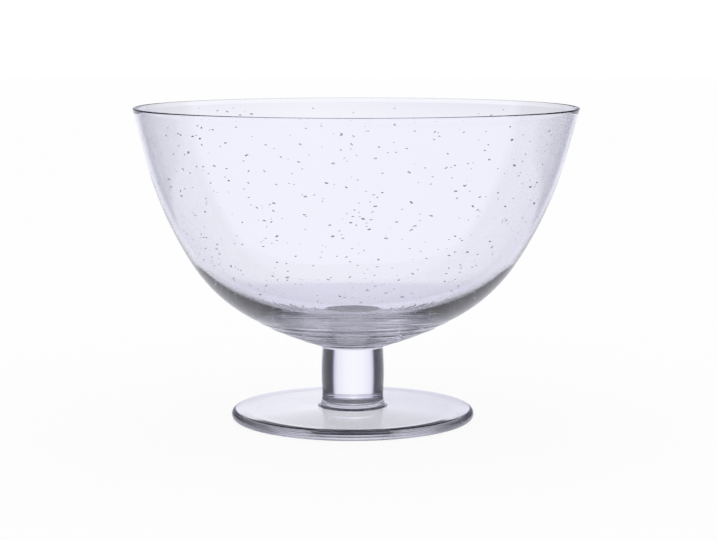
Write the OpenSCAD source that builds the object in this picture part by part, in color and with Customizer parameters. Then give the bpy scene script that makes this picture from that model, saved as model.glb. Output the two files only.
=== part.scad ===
// Footed trifle bowl in clear seeded glass: a blown bowl on a short solid stem and a round foot.
// Millimetres, +Z up. The origin is on the axis, on the surface that the foot rests on.
// Each piece is turned from an outline of straight runs and true arcs.
// A lean is the angle of a wall from the vertical, in degrees.

/* [Bowl] */
// Outside diameter of the rim
rim_d = 240; // [200:1:280]
// Height of the bowl, from its seat on the stem to the top of the rim
bowl_h = 129.8; // [114:0.2:160]
// Thickness of the wall at the rim
lip_t = 1.3; // [1:0.1:3.5]
// How far the fire-polished rim swells past the wall on each side
rim_bead = 0.02; // [0.02:0.01:0.3]
// Thickness of the glass under the middle of the bowl's floor
floor_t = 11; // [7:0.5:16]
// Lean of the straight wall below the rim
lip_lean = 14.4; // [9:0.1:20]
// Lean where the upper wall runs into the belly
belly_lean = 33; // [28:0.5:38]
// Lean where the belly runs into the underside
base_lean = 59; // [54:0.5:64]
// Lean where the belly runs into the floor, on the inside
floor_lean = 70; // [64:0.5:80]
// Radius of the upper wall's outer curve
wall_r = 200; // [170:1:230]
// Radius of the belly's outer curve
belly_r = 86; // [70:1:100]
// Radius of the curve of the underside
base_r = 167; // [140:1:220]
// How much tighter the upper wall curves inside than outside, which thickens it downwards
wall_gain = 10; // [6:0.5:20]

/* [Stem] */
// Diameter of the stem at its fullest
stem_d = 34.6; // [24:0.2:44]
// Height of the stem, from the foot to the bowl
stem_h = 30.8; // [24:0.2:60]
// Height of the stem's fullest point above the foot
stem_mid = 17; // [10:0.5:20]
// Radius of the stem's barrel curve
barrel_r = 160; // [60:1:300]
// Radius of the round shoulder under the bowl
shoulder_r = 0.9; // [0.6:0.1:4]
// How far the collar that joins the stem to the foot stands out past the barrel
collar_step = 0.4; // [0.2:0.1:2]
// Radius of the collar's round edge
collar_r = 1.6; // [1:0.1:3.5]
// How far the collar's round edge is flattened on the foot
collar_sink = 0.2; // [0.1:0.1:0.8]

/* [Foot] */
// Diameter of the foot
foot_d = 132.8; // [100:0.2:170]
// Height of the foot at the stem
foot_h = 9.5; // [8.4:0.1:14]
// Thickness of the foot at its round edge
foot_edge_t = 5.4; // [3:0.1:6.4]
// Radius of the fillet between the foot and the stem's collar
fillet_r = 2.5; // [1:0.1:3.5]
// How far the top of the foot stands out past the stem's lower face
boss_step = 1; // [0.2:0.1:3]
// Width of the flat ring that the foot rests on
ring_w = 8; // [4:0.5:16]
// Height of the hollow under the foot
kick_h = 1.6; // [0.6:0.1:3]

/* [Hidden] */
$fn = 360;
glass = [0.88, 0.88, 0.95, 0.45];

// Of two arcs that run into each other, the tighter one stands this much proud and runs on past the
// joint by this much, so that their edges cross at one clear point
proud = 0.02;
run_on = 5;

// Where an arc that starts at p ends, as its lean grows from one value to the other
function arc_end(p, lean_from, lean_to, r) =
    p + r * [cos(lean_to) - cos(lean_from), sin(lean_from) - sin(lean_to)];

// Centre of an arc that passes p with the given lean
function arc_centre(p, lean, r) = p + r * [-cos(lean), sin(lean)];

// Stem: the shoulder's circle touches the barrel's circle from the inside and the flat top
barrel_centre = [stem_d / 2 - barrel_r, stem_mid];
shoulder_z = stem_h - shoulder_r;
shoulder_reach = sqrt((barrel_r - shoulder_r) ^ 2 - (shoulder_z - stem_mid) ^ 2);
shoulder_centre = [barrel_centre[0] + shoulder_reach, shoulder_z];
shoulder_aim = (shoulder_centre - barrel_centre) / (barrel_r - shoulder_r);
shoulder_start = barrel_centre + barrel_r * shoulder_aim;
seat_r = shoulder_centre[0] + sqrt((shoulder_r + proud) ^ 2 - shoulder_r ^ 2);

// Collar: a bead round the foot of the barrel, flattened where it meets the foot
collar_z = collar_r - collar_sink;
barrel_start = barrel_centre + [sqrt(barrel_r ^ 2 - (collar_z - stem_mid) ^ 2), collar_z - stem_mid];
collar_centre = barrel_start + [collar_step - collar_r, 0];
stem_base_r = collar_centre[0] + sqrt(collar_r ^ 2 - collar_z ^ 2);

// Foot: the top slopes straight from the round edge to the fillet and touches both
edge_r = foot_edge_t / 2;
edge_centre = [foot_d / 2 - edge_r - proud, edge_r];
boss_r = stem_base_r + boss_step;
fillet_centre = [boss_r + fillet_r, foot_h];
edge_to_fillet = fillet_centre - edge_centre;
slope = atan2(edge_to_fillet[1], -edge_to_fillet[0]) - asin((edge_r + fillet_r) / norm(edge_to_fillet));
slope_up = [sin(slope), cos(slope)];
slope_low = edge_centre + edge_r * slope_up;
slope_high = fillet_centre - fillet_r * slope_up;
kick_r = edge_centre[0] - ring_w;

// Bowl, outside: the straight lip takes up the height that the three arcs leave
rim_r = lip_t / 2 + rim_bead;
rim_centre = [rim_d / 2 - rim_r, bowl_h - rim_r];
outward = [cos(lip_lean), -sin(lip_lean)];
downward = [-sin(lip_lean), -cos(lip_lean)];
rim_out = rim_centre + lip_t / 2 * outward;
rim_in = rim_centre - lip_t / 2 * outward;
upper_run = arc_end(rim_out, lip_lean, belly_lean, wall_r);
lower_run = arc_end(upper_run, belly_lean, base_lean, belly_r);
to_base_centre = arc_centre(lower_run, base_lean, base_r) - [seat_r, 0];
along = to_base_centre * downward;
lip_run = -along - sqrt(along ^ 2 - to_base_centre * to_base_centre + base_r ^ 2);
lip_out = rim_out + lip_run * downward;
belly_out = arc_end(lip_out, lip_lean, belly_lean, wall_r);
base_out = arc_end(belly_out, belly_lean, base_lean, belly_r);

// Bowl, inside: the belly and floor radii bring the wall level to the axis at the floor's height
lip_in = rim_in + lip_run * downward;
belly_in = arc_end(lip_in, lip_lean, belly_lean, wall_r - wall_gain);
floor_drop = belly_in[1] - floor_t;
belly_in_share = [cos(belly_lean) - cos(floor_lean), sin(floor_lean) - sin(belly_lean)];
floor_share = [cos(floor_lean), 1 - sin(floor_lean)];
share_area = belly_in_share[0] * floor_share[1] - floor_share[0] * belly_in_share[1];
belly_in_r = (belly_in[0] * floor_share[1] - floor_share[0] * floor_drop) / share_area;
floor_r = (belly_in_share[0] * floor_drop - belly_in[0] * belly_in_share[1]) / share_area;
floor_in = arc_end(belly_in, belly_lean, floor_lean, belly_in_r);

// Heights of the seams
stem_z = foot_h;
bowl_z = foot_h + stem_h;

// Part of a disc, between two heights and from the axis out to its round side
module arc_band(centre, r, z_low, z_high) {
    intersection() {
        translate([0, z_low]) square([rim_d, z_high - z_low]);
        translate(centre) circle(r);
    }
}

// Everything inside the bowl's outer face: its joints in a straight outline, which the arcs fill out
module bowl_outside() {
    base_centre = arc_centre(base_out, base_lean, base_r);
    belly_centre = arc_centre(belly_out, belly_lean, belly_r);
    wall_centre = arc_centre(lip_out, lip_lean, wall_r);
    polygon([
        [0, 0],
        [seat_r, 0],
        base_out,
        belly_out,
        lip_out,
        rim_out,
        rim_in,
        [0, rim_in[1]]
    ]);
    arc_band(base_centre, base_r + proud, 0, base_out[1]);
    arc_band(belly_centre, belly_r + 2 * proud, base_out[1] - run_on, belly_out[1] + run_on);
    arc_band(wall_centre, wall_r + proud, belly_out[1], lip_out[1] + run_on);
}

// Everything inside the bowl's inner face, with some room above the rim
module bowl_inside() {
    room = lip_t;
    wall_in_r = wall_r - wall_gain;
    floor_centre = [0, floor_t + floor_r];
    belly_centre = arc_centre(belly_in, belly_lean, belly_in_r);
    wall_centre = arc_centre(lip_in, lip_lean, wall_in_r);
    polygon([
        [0, floor_t],
        floor_in,
        belly_in,
        lip_in,
        rim_in,
        rim_in + [0, room],
        [0, rim_in[1] + room]
    ]);
    arc_band(floor_centre, floor_r + proud, floor_t - room, floor_in[1]);
    arc_band(belly_centre, belly_in_r + 2 * proud, floor_in[1] - run_on, belly_in[1] + run_on);
    arc_band(wall_centre, wall_in_r + proud, belly_in[1], lip_in[1] + run_on);
}

// Blown bowl, thin at the fire-polished rim and heavy at the floor, with a flat seat for the stem
module bowl() {
    color(glass) translate([0, 0, bowl_z]) rotate_extrude() {
        difference() {
            bowl_outside();
            bowl_inside();
        }
        translate(rim_centre) circle(rim_r);
    }
}

// Solid barrel stem with a round shoulder above and a beaded collar below
module stem() {
    color(glass) translate([0, 0, stem_z]) rotate_extrude() {
        polygon([
            [0, 0],
            [collar_centre[0], 0],
            collar_centre,
            barrel_start,
            shoulder_start,
            [shoulder_centre[0], stem_h],
            [0, stem_h]
        ]);
        arc_band(barrel_centre, barrel_r, collar_z, shoulder_start[1]);
        intersection() {
            square([stem_d, stem_h]);
            translate(shoulder_centre) circle(shoulder_r + proud);
        }
        intersection() {
            square([stem_d, stem_h]);
            translate(collar_centre) circle(collar_r);
        }
    }
}

// The foot's outline from the axis to its sloping top, with the fillet under the stem's collar
module foot_top() {
    difference() {
        polygon([
            [0, 0],
            [edge_centre[0], 0],
            slope_low,
            slope_high,
            [slope_high[0], foot_h],
            [0, foot_h]
        ]);
        translate(fillet_centre) circle(fillet_r + proud);
    }
}

// Round foot, pressed hollow underneath so that it rests on a flat ring
module foot() {
    color(glass) rotate_extrude() difference() {
        union() {
            foot_top();
            intersection() {
                square([foot_d, foot_h]);
                translate(edge_centre) circle(edge_r + proud);
            }
        }
        polygon([[0, -kick_h], [kick_r, -kick_h], [kick_r, 0], [stem_base_r, kick_h], [0, kick_h]]);
    }
}

bowl();
stem();
foot();
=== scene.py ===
import bpy
import numpy as np
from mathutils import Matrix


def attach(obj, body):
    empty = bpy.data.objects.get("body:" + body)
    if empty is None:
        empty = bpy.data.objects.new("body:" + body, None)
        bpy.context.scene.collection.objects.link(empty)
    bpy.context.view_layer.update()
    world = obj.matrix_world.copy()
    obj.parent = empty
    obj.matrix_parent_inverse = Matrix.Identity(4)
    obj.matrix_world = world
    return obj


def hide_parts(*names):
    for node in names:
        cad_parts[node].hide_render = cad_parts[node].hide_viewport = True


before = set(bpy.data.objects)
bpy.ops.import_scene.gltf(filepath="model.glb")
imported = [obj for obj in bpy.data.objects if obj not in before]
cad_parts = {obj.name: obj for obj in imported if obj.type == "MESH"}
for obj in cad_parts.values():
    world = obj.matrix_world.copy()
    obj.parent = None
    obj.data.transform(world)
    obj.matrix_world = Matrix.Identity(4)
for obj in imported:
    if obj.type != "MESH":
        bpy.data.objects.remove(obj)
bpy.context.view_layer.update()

scene = bpy.context.scene


# Bowl: the deep round bowl, free-blown from clear seeded soda glass with a faint lavender cast.
# Its wall thickens from a thin fire-polished rim to a heavy floor, and it is fused to the stem on
# a small flat seat. Turning marks from the blowing run round its underside, strongest in front.

# Sizes in metres, and leans of the wall in degrees from the vertical
SEAT_Z = 0.0403
SEAT_R = 0.016067
RIM_R = 0.120
BOWL_H = 0.1298
LIP_T = 0.0013
LIP_RUN = 0.025282
LIP_LEAN, BELLY_LEAN, BASE_LEAN, SEAT_LEAN = 14.4, 33.0, 59.0, 75.362577
FLOOR_LEAN, LEVEL = 70.0, 90.0
OUTER_WALL_R, OUTER_BELLY_R, OUTER_BASE_R = 0.2, 0.086, 0.167
INNER_WALL_R, INNER_BELLY_R, INNER_FLOOR_R = 0.19, 0.071941, 0.152096
BOWL_TILT = 0.0150

# Turning marks: their height, where they fade out, and their rings, each with its strength, its
# radians per millimetre of radius and its phase. The rings drift by so many millimetres, so many
# times round, with a phase.
MARK_H = 0.0003
MARK_OUT, MARK_FADE, SEAT_FADE = 0.064, 0.016, 0.002
MARK_RINGS = ((1.0, 1.05, 0.0), (0.6, 1.85, 1.0), (0.5, 2.65, 2.0))
MARK_DRIFT = ((0.5, 2, 0.7), (0.3, 5, 0.0))
MM_IN_M = 1000

# Points along each run of the outline and round each turn
LIP_STEPS, RIM_STEPS, WALL_STEPS = 12, 13, 28
OUTER_BELLY_STEPS, OUTER_BASE_STEPS = 40, 150
INNER_BELLY_STEPS, INNER_FLOOR_STEPS = 44, 28
BOWL_TURNS = 256

# The waves of a surface have a size and a depth. A film is painted shade: the share of light that a
# grey sheet on a fused face stops, to darken the joints, which real clear glass shows dark by
# refraction and shade
GLASS_TINT = (0.958, 0.958, 1.0, 1.0)
GLASS_IOR = 1.5
BOWL_WAVES = (0.030, 0.00002)
# Painted shade: a dark grey film on the fused faces stands in for the dark bands at the joints
SHADE_FILM_COLOUR = (0.03, 0.03, 0.04, 1.0)
BOWL_SHADE_FILM = 0.60


def lean_arc(start, lean_from, lean_to, radius, steps):
    """Points of a wall's arc, going down and in from start: the lean from the vertical grows in
    even steps, and a point lies at radius times the change of the lean's cosine and sine."""
    first = np.radians(lean_from)
    lean = np.linspace(first, np.radians(lean_to), steps)
    r = start[0] - radius * (np.cos(first) - np.cos(lean))
    z = start[1] - radius * (np.sin(lean) - np.sin(first))
    return np.stack([r, z], 1)


def circle_arc(centre, radius, angle_from, angle_to, steps):
    """Points of a circle's arc between two angles in degrees, counted from the outward radius."""
    angle = np.radians(np.linspace(angle_from, angle_to, steps))
    return np.asarray(centre) + radius * np.stack([np.cos(angle), np.sin(angle)], 1)


def straight(start, end, steps):
    """Evenly spaced points of a straight run."""
    return np.linspace(start, end, steps)


def chain(*runs):
    """One outline from runs that follow each other, with each shared joint kept once."""
    return np.concatenate([runs[0]] + [run[1:] for run in runs[1:]])


def upright(r, z, a):
    """The point at radius r, height z and angle a is (r cos a, r sin a, z)."""
    return r * np.cos(a), r * np.sin(a), z


def ring_faces(rings, turns):
    """Faces over rings of points that are numbered ring by ring, with two poles numbered last: a
    quad between neighbours on two rings, and a fan of triangles from each end ring to its pole."""
    row, j = np.arange(rings - 1)[:, None] * turns, np.arange(turns)
    after = (j + 1) % turns
    quads = np.stack([row + j, row + after, row + turns + after, row + turns + j], -1)
    last_ring, first_pole, last_pole = (rings - 1) * turns, rings * turns, rings * turns + 1
    first_fan = np.stack([np.full(turns, first_pole), after, j], 1)
    last_fan = np.stack([np.full(turns, last_pole), last_ring + j, last_ring + after], 1)
    return quads.reshape(-1, 4), np.concatenate([first_fan, last_fan])


def smooth_piece(name, points, faces):
    """An object in the scene with a smoothly shaded mesh of the given points and faces."""
    mesh = bpy.data.meshes.new(name)
    mesh.from_pydata(points, [], faces)
    mesh.shade_smooth()
    piece = bpy.data.objects.new(name, mesh)
    scene.collection.objects.link(piece)
    return piece


def turned(name, outline, turns, fused_rows, shaped=upright):
    """Surface of revolution: each row of the outline, at radius r and height z, is carried round Z
    in even turns of the angle a, and shaped(r, z, a) is the point. The outline's two ends lie on
    the axis and become poles. The faces that start at fused_rows take the second material."""
    angle = np.linspace(0, 2 * np.pi, turns, endpoint=False)
    r = np.repeat(outline[1:-1, :1], turns, 1)
    z = np.repeat(outline[1:-1, 1:], turns, 1)
    a = np.repeat(angle[None], len(r), 0)
    rings = np.stack(shaped(r, z, a), -1).reshape(-1, 3)
    on_axis = np.zeros((2, 1))
    poles = np.concatenate(shaped(on_axis, outline[[0, -1], 1:], on_axis), 1)
    quads, fans = ring_faces(len(r), turns)
    piece = smooth_piece(name, np.concatenate([rings, poles]), quads.tolist() + fans.tolist())
    quad_row = np.repeat(np.arange(1, len(r)), turns)
    face_row = np.concatenate([quad_row, np.zeros(turns, int), np.full(turns, len(r))])
    fused = np.isin(face_row, fused_rows).astype(np.int32)
    piece.data.polygons.foreach_set("material_index", fused)
    return piece


def clear_glass(name, wave_size, wave_depth):
    """Clear glass with a faint tint, whose surface has slow hand-worked waves: a bump from noise of
    the given size and depth."""
    material = bpy.data.materials.new(name)
    material.use_nodes = True
    tree = material.node_tree
    shader = tree.nodes["Principled BSDF"]
    shader.inputs["Base Color"].default_value = GLASS_TINT
    shader.inputs["Roughness"].default_value = 0.0
    shader.inputs["IOR"].default_value = GLASS_IOR
    shader.inputs["Transmission Weight"].default_value = 1.0
    place = tree.nodes.new("ShaderNodeTexCoord")
    wave = tree.nodes.new("ShaderNodeTexNoise")
    wave.inputs["Scale"].default_value = 1 / wave_size
    wave.inputs["Detail"].default_value = 1.0
    bump = tree.nodes.new("ShaderNodeBump")
    bump.inputs["Strength"].default_value = 1.0
    bump.inputs["Distance"].default_value = wave_depth
    tree.links.new(place.outputs["Object"], wave.inputs["Vector"])
    tree.links.new(wave.outputs["Fac"], bump.inputs["Height"])
    tree.links.new(bump.outputs["Normal"], shader.inputs["Normal"])
    return material


def painted_shade_film(name, film):
    """The face where two pieces are fused, with painted shade: a thin grey film that stops the
    given share of the light, to darken the joint where clear glass is dark only by refraction and
    shade."""
    material = bpy.data.materials.new(name)
    material.use_nodes = True
    shader = material.node_tree.nodes["Principled BSDF"]
    shader.inputs["Base Color"].default_value = SHADE_FILM_COLOUR
    shader.inputs["Specular IOR Level"].default_value = 0.0
    shader.inputs["Roughness"].default_value = 1.0
    shader.inputs["Alpha"].default_value = film
    return material


lip_dir = np.array([-np.sin(np.radians(LIP_LEAN)), -np.cos(np.radians(LIP_LEAN))])
lip_out = np.array([-lip_dir[1], lip_dir[0]])
rim_centre = np.array([RIM_R - LIP_T / 2, SEAT_Z + BOWL_H - LIP_T / 2])
rim_outside, rim_inside = rim_centre + LIP_T / 2 * lip_out, rim_centre - LIP_T / 2 * lip_out
outer_lip = straight(rim_outside, rim_outside + LIP_RUN * lip_dir, LIP_STEPS)
outer_wall = lean_arc(outer_lip[-1], LIP_LEAN, BELLY_LEAN, OUTER_WALL_R, WALL_STEPS)
outer_belly = lean_arc(outer_wall[-1], BELLY_LEAN, BASE_LEAN, OUTER_BELLY_R, OUTER_BELLY_STEPS)
outer_base = lean_arc(outer_belly[-1], BASE_LEAN, SEAT_LEAN, OUTER_BASE_R, OUTER_BASE_STEPS)
outer_base[-1] = SEAT_R, SEAT_Z
outer_face = chain(outer_lip, outer_wall, outer_belly, outer_base)[::-1]
rim = circle_arc(rim_centre, LIP_T / 2, -LIP_LEAN, 180 - LIP_LEAN, RIM_STEPS)
inner_lip = straight(rim_inside, rim_inside + LIP_RUN * lip_dir, LIP_STEPS)
inner_wall = lean_arc(inner_lip[-1], LIP_LEAN, BELLY_LEAN, INNER_WALL_R, WALL_STEPS)
inner_belly = lean_arc(inner_wall[-1], BELLY_LEAN, FLOOR_LEAN, INNER_BELLY_R, INNER_BELLY_STEPS)
inner_floor = lean_arc(inner_belly[-1], FLOOR_LEAN, LEVEL, INNER_FLOOR_R, INNER_FLOOR_STEPS)
inner_floor[-1, 0] = 0.0
inner_face = chain(inner_lip, inner_wall, inner_belly, inner_floor)
bowl_seat = np.array([[0.0, SEAT_Z]])
bowl_outline = np.concatenate([bowl_seat, chain(outer_face, rim, inner_face)])


def blown(r, z, a):
    """The bowl leans a little to +X with height, as set on the stem by hand. The underside carries
    turning marks: a sum of three sine rings of the radius, whose phase drifts with the angle and
    whose height falls off from the front to the back as the square of half of one less sin a."""
    drift = sum(reach * np.sin(times * a + phase) for reach, times, phase in MARK_DRIFT)
    mm = r * MM_IN_M + drift
    marks = sum(strength * np.sin(pace * mm + phase) for strength, pace, phase in MARK_RINGS)
    fade_out = np.clip((MARK_OUT - r) / MARK_FADE, 0, 1)
    fade_in = np.clip((r - SEAT_R) / SEAT_FADE, 0, 1)
    to_front = (0.5 - 0.5 * np.sin(a)) ** 2
    on_underside = np.zeros_like(r)
    on_underside[:len(outer_base)] = 1
    height = z + MARK_H * marks * fade_out * fade_in * to_front * on_underside
    return r * np.cos(a) + BOWL_TILT * (height - SEAT_Z), r * np.sin(a), height


bowl = turned("trifle_bowl", bowl_outline, BOWL_TURNS, [0], blown)
bowl.data.materials.append(clear_glass("bowl_glass", *BOWL_WAVES))
# Painted shade: the bowl's seat face carries a grey film that darkens the joint under the bowl
bowl.data.materials.append(painted_shade_film("bowl_painted_shade", BOWL_SHADE_FILM))
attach(bowl, "root")
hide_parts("bowl")


# Seeds: small air bubbles caught in the bowl's wall, as seeded glass is made to have. Blowing and
# turning drew them out along the wall, mostly level, and each lies near the middle of the wall.

# They lie on the wall up to the share SEED_TOP of its area. A seed's long half-axis is in metres,
# its slim one a share of that, and its thin one at most a share of the wall's thickness. Its depth
# is a share of that thickness too, and its slope spreads by so many degrees.
SEED_COUNT = 700
SEED_DRAW = 11
SEED_TOP = 0.97
SEED_LONG, SEED_LONG_SKEW = (0.00045, 0.00150), (1.3, 3.2)
SEED_SLIM = (0.24, 0.50)
SEED_THIN = 0.30
SEED_DEPTH = (0.40, 0.60)
SEED_SLOPE = 20.0
SEED_RINGS, SEED_SIDES = 4, 8
SEED_IOR = 1 / GLASS_IOR

draw = np.random.default_rng(SEED_DRAW)
step = np.diff(outer_face, axis=0)
ring_area = np.hypot(step[:, 0], step[:, 1]) * (outer_face[1:, 0] + outer_face[:-1, 0])
area_share = np.concatenate([[0], np.cumsum(ring_area)]) / ring_area.sum()
rows = np.arange(len(outer_face))
seed_row = np.interp(draw.uniform(0, SEED_TOP, SEED_COUNT), area_share, rows)
seed_a = draw.uniform(0, 2 * np.pi, SEED_COUNT)
rise_dir = np.gradient(outer_face, axis=0)
rise_dir /= np.linalg.norm(rise_dir, axis=1)[:, None]
wall_t = np.linalg.norm(outer_face[:, None] - inner_face[None], axis=2).min(1)
up_r, up_z = np.interp(seed_row, rows, rise_dir[:, 0]), np.interp(seed_row, rows, rise_dir[:, 1])
seed_wall = np.interp(seed_row, rows, wall_t)
seed_in = seed_wall * draw.uniform(*SEED_DEPTH, SEED_COUNT)
seed_r = np.interp(seed_row, rows, outer_face[:, 0]) - up_z * seed_in
seed_z = np.interp(seed_row, rows, outer_face[:, 1]) + up_r * seed_in
long_share = draw.beta(*SEED_LONG_SKEW, SEED_COUNT)
long_r = SEED_LONG[0] + (SEED_LONG[1] - SEED_LONG[0]) * long_share
slim_r = long_r * draw.uniform(*SEED_SLIM, SEED_COUNT)
thin_r = np.minimum(slim_r, SEED_THIN * seed_wall)
turn = np.radians(SEED_SLOPE) * draw.normal(0, 1, SEED_COUNT)


def air_seeds(name):
    """Ellipsoids: point (u, v) of a seed is its centre plus long, slim and thin half-axes times
    cos u cos v, cos u sin v and sin u, along the wall's level, upward and outward directions."""
    level = np.stack([-np.sin(seed_a), np.cos(seed_a), 0 * seed_a], 1)
    upward = np.stack([up_r * np.cos(seed_a), up_r * np.sin(seed_a), up_z], 1)
    outward = np.cross(level, upward)
    along = level * np.cos(turn)[:, None] + upward * np.sin(turn)[:, None]
    across = upward * np.cos(turn)[:, None] - level * np.sin(turn)[:, None]
    centre = np.stack([seed_r * np.cos(seed_a) + BOWL_TILT * (seed_z - SEAT_Z),
                       seed_r * np.sin(seed_a), seed_z], 1)
    u = np.linspace(-np.pi / 2, np.pi / 2, SEED_RINGS + 2)[1:-1]
    v = np.linspace(0, 2 * np.pi, SEED_SIDES, endpoint=False)
    unit = np.stack([np.outer(np.cos(u), np.cos(v)), np.outer(np.cos(u), np.sin(v)),
                     np.repeat(np.sin(u)[:, None], SEED_SIDES, 1)], -1).reshape(-1, 3)
    unit = np.concatenate([unit, [[0, 0, -1], [0, 0, 1]]])
    half_axes = [along * long_r[:, None], across * slim_r[:, None], outward * thin_r[:, None]]
    points = centre[:, None] + np.einsum("pk,skc->spc", unit, np.stack(half_axes, 1))
    quads, fans = ring_faces(SEED_RINGS, SEED_SIDES)
    offset = np.arange(SEED_COUNT)[:, None, None] * len(unit)
    faces = (quads + offset).reshape(-1, 4).tolist() + (fans + offset).reshape(-1, 3).tolist()
    return smooth_piece(name, points.reshape(-1, 3), faces)


seeds = air_seeds("air_seeds")
seed_air = bpy.data.materials.new("seed_air")
seed_air.use_nodes = True
seed_tree = seed_air.node_tree
seed_tree.nodes.remove(seed_tree.nodes["Principled BSDF"])
seed_shader = seed_tree.nodes.new("ShaderNodeBsdfGlass")
seed_shader.inputs["Roughness"].default_value = 0.0
seed_shader.inputs["IOR"].default_value = SEED_IOR
seed_tree.links.new(seed_shader.outputs[0], seed_tree.nodes["Material Output"].inputs["Surface"])
seeds.data.materials.append(seed_air)
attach(seeds, "root")


# Stem: a short solid barrel of glass, gathered on to the bowl while hot and turned to shape.
# It has a tight round shoulder under the bowl and a beaded collar where it was stuck to the foot.
# The painted shade films of both joints are on its neighbours, so its own fused faces are clear.
STEM_Z, STEM_H = 0.0095, 0.0308
STEM_R = 0.0173
STEM_MID = 0.017
BARREL_R = 0.16
SHOULDER_R = 0.00092
COLLAR_R, COLLAR_X, COLLAR_Z = 0.0016, 0.015338, 0.001400
COLLAR_FROM, COLLAR_TO = -61.045, 36.275
COLLAR_STEPS, BARREL_STEPS, SHOULDER_STEPS = 18, 36, 12
STEM_TURNS = 192
STEM_WAVES = (0.012, 0.00001)
# The stem's own fused faces carry no painted shade
STEM_SHADE_FILM = 0.0

barrel_centre = np.array([STEM_R - BARREL_R, STEM_Z + STEM_MID])
shoulder_z = STEM_Z + STEM_H - SHOULDER_R
shoulder_up = np.degrees(np.arcsin((shoulder_z - barrel_centre[1]) / (BARREL_R - SHOULDER_R)))
shoulder_x = barrel_centre[0] + (BARREL_R - SHOULDER_R) * np.cos(np.radians(shoulder_up))
collar_centre = (COLLAR_X, STEM_Z + COLLAR_Z)
collar = circle_arc(collar_centre, COLLAR_R, COLLAR_FROM, COLLAR_TO, COLLAR_STEPS)
barrel_from = np.degrees(np.arcsin((collar[-1, 1] - barrel_centre[1]) / BARREL_R))
barrel = circle_arc(barrel_centre, BARREL_R, barrel_from, shoulder_up, BARREL_STEPS)
shoulder = circle_arc((shoulder_x, shoulder_z), SHOULDER_R, shoulder_up, 90, SHOULDER_STEPS)
shoulder[-1] = SEAT_R, SEAT_Z
collar[0, 1] = STEM_Z
stem_low, stem_top = np.array([[0, STEM_Z]]), np.array([[0, SEAT_Z]])
stem_outline = np.concatenate([stem_low, chain(collar, barrel, shoulder), stem_top])
stem = turned("stem_barrel", stem_outline, STEM_TURNS, [0, len(stem_outline) - 2])
stem.data.materials.append(clear_glass("stem_glass", *STEM_WAVES))
stem.data.materials.append(painted_shade_film("stem_faces", STEM_SHADE_FILM))
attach(stem, "root")
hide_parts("stem")


# Foot: a round disc of glass, pressed on to the stem while hot. Its top slopes from a small fillet
# at the collar to a full round edge, and a shallow hollow below leaves a flat ring to rest on.
FOOT_EDGE_X, FOOT_EDGE_R, FOOT_EDGE_SINK = 0.06368, 0.00272, 0.00002
FOOT_SLOPE = 2.0749
FILLET_X, FILLET_R = 0.019612, 0.00252
KICK_R, KICK_H = 0.05568, 0.0016
KICK_STEPS, RING_STEPS, EDGE_STEPS = 16, 6, 24
SLOPE_STEPS, FILLET_STEPS, BOSS_STEPS = 60, 14, 3
FOOT_TURNS = 256
FOOT_WAVES = (0.025, 0.00002)
FOOT_SHADE_FILM = 0.77

stem_base_r = collar[0, 0]
edge_centre = (FOOT_EDGE_X, FOOT_EDGE_R - FOOT_EDGE_SINK)
foot_edge = circle_arc(edge_centre, FOOT_EDGE_R, -90, 90 - FOOT_SLOPE, EDGE_STEPS)
foot_edge[:, 1] = np.maximum(foot_edge[:, 1], 0.0)
fillet = circle_arc((FILLET_X, STEM_Z), FILLET_R, -90 - FOOT_SLOPE, -180, FILLET_STEPS)
kick_flat = straight((stem_base_r, KICK_H), (KICK_R, 0), KICK_STEPS)
rest_ring = straight((KICK_R, 0), (FOOT_EDGE_X, 0), RING_STEPS)
foot_slope = straight(foot_edge[-1], fillet[0], SLOPE_STEPS)
boss = straight(fillet[-1], (stem_base_r, STEM_Z), BOSS_STEPS)
foot_low, foot_top = np.array([[0, KICK_H]]), np.array([[0, STEM_Z]])
foot_side = chain(kick_flat, rest_ring, foot_edge, foot_slope, fillet, boss)
foot_outline = np.concatenate([foot_low, foot_side, foot_top])
foot = turned("foot_disc", foot_outline, FOOT_TURNS, [len(foot_outline) - 2])
foot.data.materials.append(clear_glass("foot_glass", *FOOT_WAVES))
# Painted shade: the foot's top face carries a grey film that darkens the collar's joint and the
# shade under the stem
foot.data.materials.append(painted_shade_film("foot_painted_shade", FOOT_SHADE_FILM))
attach(foot, "root")
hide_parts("foot")


# Floor: a wide pale table top that takes the object's soft shadow. It glows by itself for the most
# part, so that it is nearly as white as the sky, and glass sees the tent in its place.
FLOOR_SIDE = 12.0
FLOOR_COLOUR = (0.92, 0.92, 0.92, 1.0)
FLOOR_GLOW = 0.90

corners = FLOOR_SIDE / 2 * np.array([[-1, -1, 0], [1, -1, 0], [1, 1, 0], [-1, 1, 0]])
floor = smooth_piece("floor", corners, [[0, 1, 2, 3]])
floor_paint = bpy.data.materials.new("floor_paint")
floor_paint.use_nodes = True
floor_tree = floor_paint.node_tree
floor_shader = floor_tree.nodes["Principled BSDF"]
floor_shader.inputs["Base Color"].default_value = FLOOR_COLOUR
floor_shader.inputs["Roughness"].default_value = 1.0
glow = floor_tree.nodes.new("ShaderNodeEmission")
part_glow = floor_tree.nodes.new("ShaderNodeMixShader")
part_glow.inputs["Fac"].default_value = FLOOR_GLOW
floor_tree.links.new(floor_shader.outputs[0], part_glow.inputs[1])
floor_tree.links.new(glow.outputs[0], part_glow.inputs[2])
floor_tree.links.new(part_glow.outputs[0], floor_tree.nodes["Material Output"].inputs["Surface"])
floor.data.materials.append(floor_paint)
floor.visible_glossy = False
floor.visible_transmission = False


# Light tent: a round tent of white cloth that only glass sees, fixed round the object, with black
# flags at both sides and a dark ceiling that draw the dark edges of clear glass. On the table, only
# light that has come through glass sees the flags, so the stem is dark and the bowl's edge is not.
TENT_R = 4.0
TENT_RINGS, TENT_TURNS = 32, 64
TENT_TURN = 1.75
TENT_BLUE = 1.42

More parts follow.
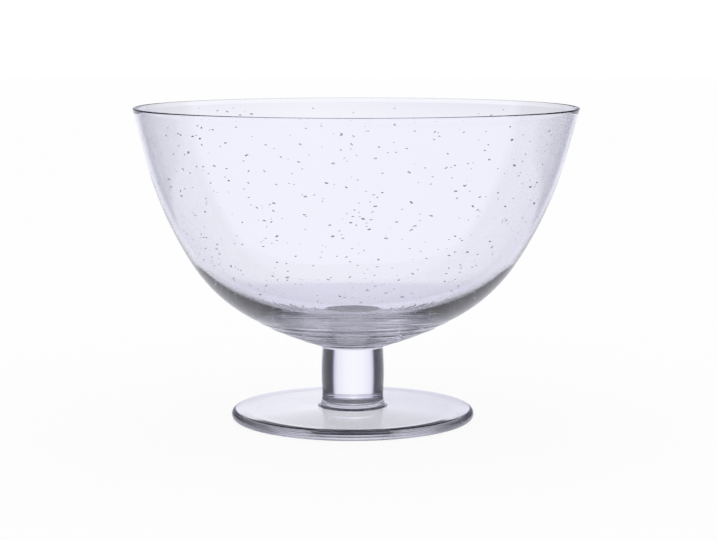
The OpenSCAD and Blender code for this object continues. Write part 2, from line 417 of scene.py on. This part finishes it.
# Brightness of each zone, at angles in degrees to either side of the tent's back
NEAR_TABLE = ((0, 0.85), (180, 0.85))
OPEN_TABLE = ((0, 0.98), (10, 0.96), (15, 0.91), (20, 0.86), (30, 0.80), (180, 0.80))
FLAGGED_TABLE = ((0, 0.98), (10, 0.96), (15, 0.91), (20, 0.86), (24, 0.74), (27, 0.55),
                 (29.5, 0.12), (33, 0.01), (70, 0.01), (78, 0.82), (180, 0.82))
BACKDROP = ((0, 0.85), (4, 0.68), (8, 0.50), (14, 0.40), (22, 0.36), (27, 0.28),
            (30, 0.16), (40, 0.12), (60, 0.15), (70, 0.22), (78, 0.82), (180, 0.82))
CEILING = ((0, 0.06), (70, 0.06), (78, 0.75), (180, 0.75))

# Elevations in degrees between which a zone gives way to the next one up
OPEN_FROM, FLAGGED_FROM = (-15.5, -12.5), (-18.0, -15.5)
BACKDROP_FROM = (-1.0, 2.0)
CEILING_FROM = (13.0, 18.0)

# Places of the colours among a Mix node's inputs and outputs
MIX_FIRST, MIX_SECOND, MIX_RESULT = 6, 7, 2

tent_u = np.linspace(-np.pi / 2, np.pi / 2, TENT_RINGS + 2)[1:-1]
tent_outline = TENT_R * np.stack([np.cos(tent_u), np.sin(tent_u)], 1)
tent_outline = np.concatenate([[[0, -TENT_R]], tent_outline, [[0, TENT_R]]])
tent = turned("light_tent", tent_outline, TENT_TURNS, [])
tent_cloth = bpy.data.materials.new("tent_cloth")
tent_cloth.use_nodes = True
tent_tree = tent_cloth.node_tree
tent_tree.nodes.remove(tent_tree.nodes["Principled BSDF"])


def tent_node(kind, *values, **settings):
    """A node of the tent's cloth, with its settings, and its inputs linked or set in order."""
    node = tent_tree.nodes.new(kind)
    for key, value in settings.items():
        setattr(node, key, value)
    for socket, value in zip(node.inputs, values):
        if isinstance(value, bpy.types.NodeSocket):
            tent_tree.links.new(value, socket)
        else:
            socket.default_value = value
    return node


spot = tent_node("ShaderNodeSeparateXYZ", tent_node("ShaderNodeTexCoord").outputs["Object"])
aim = tent_node("ShaderNodeMath", spot.outputs["X"], spot.outputs["Y"], operation="ARCTAN2")
turned_aim = tent_node("ShaderNodeMath", aim.outputs[0], np.radians(TENT_TURN), operation="ADD")
off_axis = tent_node("ShaderNodeMath", turned_aim.outputs[0], operation="ABSOLUTE")
half_turns = tent_node("ShaderNodeMath", off_axis.outputs[0], np.pi, operation="DIVIDE").outputs[0]
through_glass = tent_node("ShaderNodeLightPath").outputs["Is Transmission Ray"]


def tent_zone(stops):
    """Brightness of one zone of the tent as a ramp of the angle off its back, in half turns. The
    shades are a little blue: their blue is one less the power TENT_BLUE of the missing light."""
    ramp = tent_node("ShaderNodeValToRGB", half_turns)
    bands = ramp.color_ramp.elements
    for angle, _ in stops[2:]:
        bands.new(angle / 180)
    for band, (angle, level) in zip(bands, stops):
        band.position = angle / 180
        band.color = (level, level, 1 - (1 - level) ** TENT_BLUE, 1.0)
    return ramp.outputs["Color"]


def tent_mix(share, first, second):
    """The first colour where share is 0, the second where it is 1, and a blend between."""
    mix = tent_node("ShaderNodeMix", share, data_type="RGBA")
    tent_tree.links.new(first, mix.inputs[MIX_FIRST])
    tent_tree.links.new(second, mix.inputs[MIX_SECOND])
    return mix.outputs[MIX_RESULT]


def tent_over(low_zone, high_zone, split):
    """One zone above another, with a soft edge between the two given elevations in degrees."""
    edge_low, edge_high = TENT_R * np.sin(np.radians(split))
    edge = tent_node("ShaderNodeMapRange", spot.outputs["Z"], edge_low, edge_high, 0.0, 1.0)
    return tent_mix(edge.outputs[0], low_zone, high_zone)


near_table = tent_zone(NEAR_TABLE)
open_table = tent_over(near_table, tent_zone(OPEN_TABLE), OPEN_FROM)
flagged_table = tent_over(near_table, tent_zone(FLAGGED_TABLE), FLAGGED_FROM)
table = tent_mix(through_glass, open_table, flagged_table)
table_and_wall = tent_over(table, tent_zone(BACKDROP), BACKDROP_FROM)
whole_tent = tent_over(table_and_wall, tent_zone(CEILING), CEILING_FROM)
shine = tent_node("ShaderNodeEmission", whole_tent)
tent_tree.links.new(shine.outputs[0], tent_tree.nodes["Material Output"].inputs["Surface"])
tent_cloth.cycles.emission_sampling = "NONE"
tent.data.materials.append(tent_cloth)
tent.visible_camera = tent.visible_diffuse = tent.visible_shadow = False


# Sky and camera: a plain white sky lights the object evenly from all round. The camera stands in
# front of it and looks a little down through a long lens. Light may pass many faces of glass.
SKY_COLOUR, SKY_STRENGTH = (1.0, 1.0, 1.0, 1.0), 1.0
LENS, SENSOR = 102.77, 36.0
CAMERA_AT = (0.0029, -1.1046, 0.2208)
CAMERA_DOWN = 0.1256
GLASS_BOUNCES, MIRROR_BOUNCES = 24, 12

world = bpy.data.worlds.new("sky")
scene.world = world
world.use_nodes = True
sky = world.node_tree.nodes["Background"]
sky.inputs["Color"].default_value = SKY_COLOUR
sky.inputs["Strength"].default_value = SKY_STRENGTH

lens = bpy.data.cameras.new("camera")
lens.lens, lens.sensor_width = LENS, SENSOR
camera = bpy.data.objects.new("camera", lens)
camera.location = CAMERA_AT
camera.rotation_euler = (np.pi / 2 - CAMERA_DOWN, 0, 0)
scene.collection.objects.link(camera)
scene.camera = camera

scene.view_settings.view_transform = "Standard"
scene.cycles.max_bounces = GLASS_BOUNCES
scene.cycles.transmission_bounces = GLASS_BOUNCES
scene.cycles.glossy_bounces = MIRROR_BOUNCES
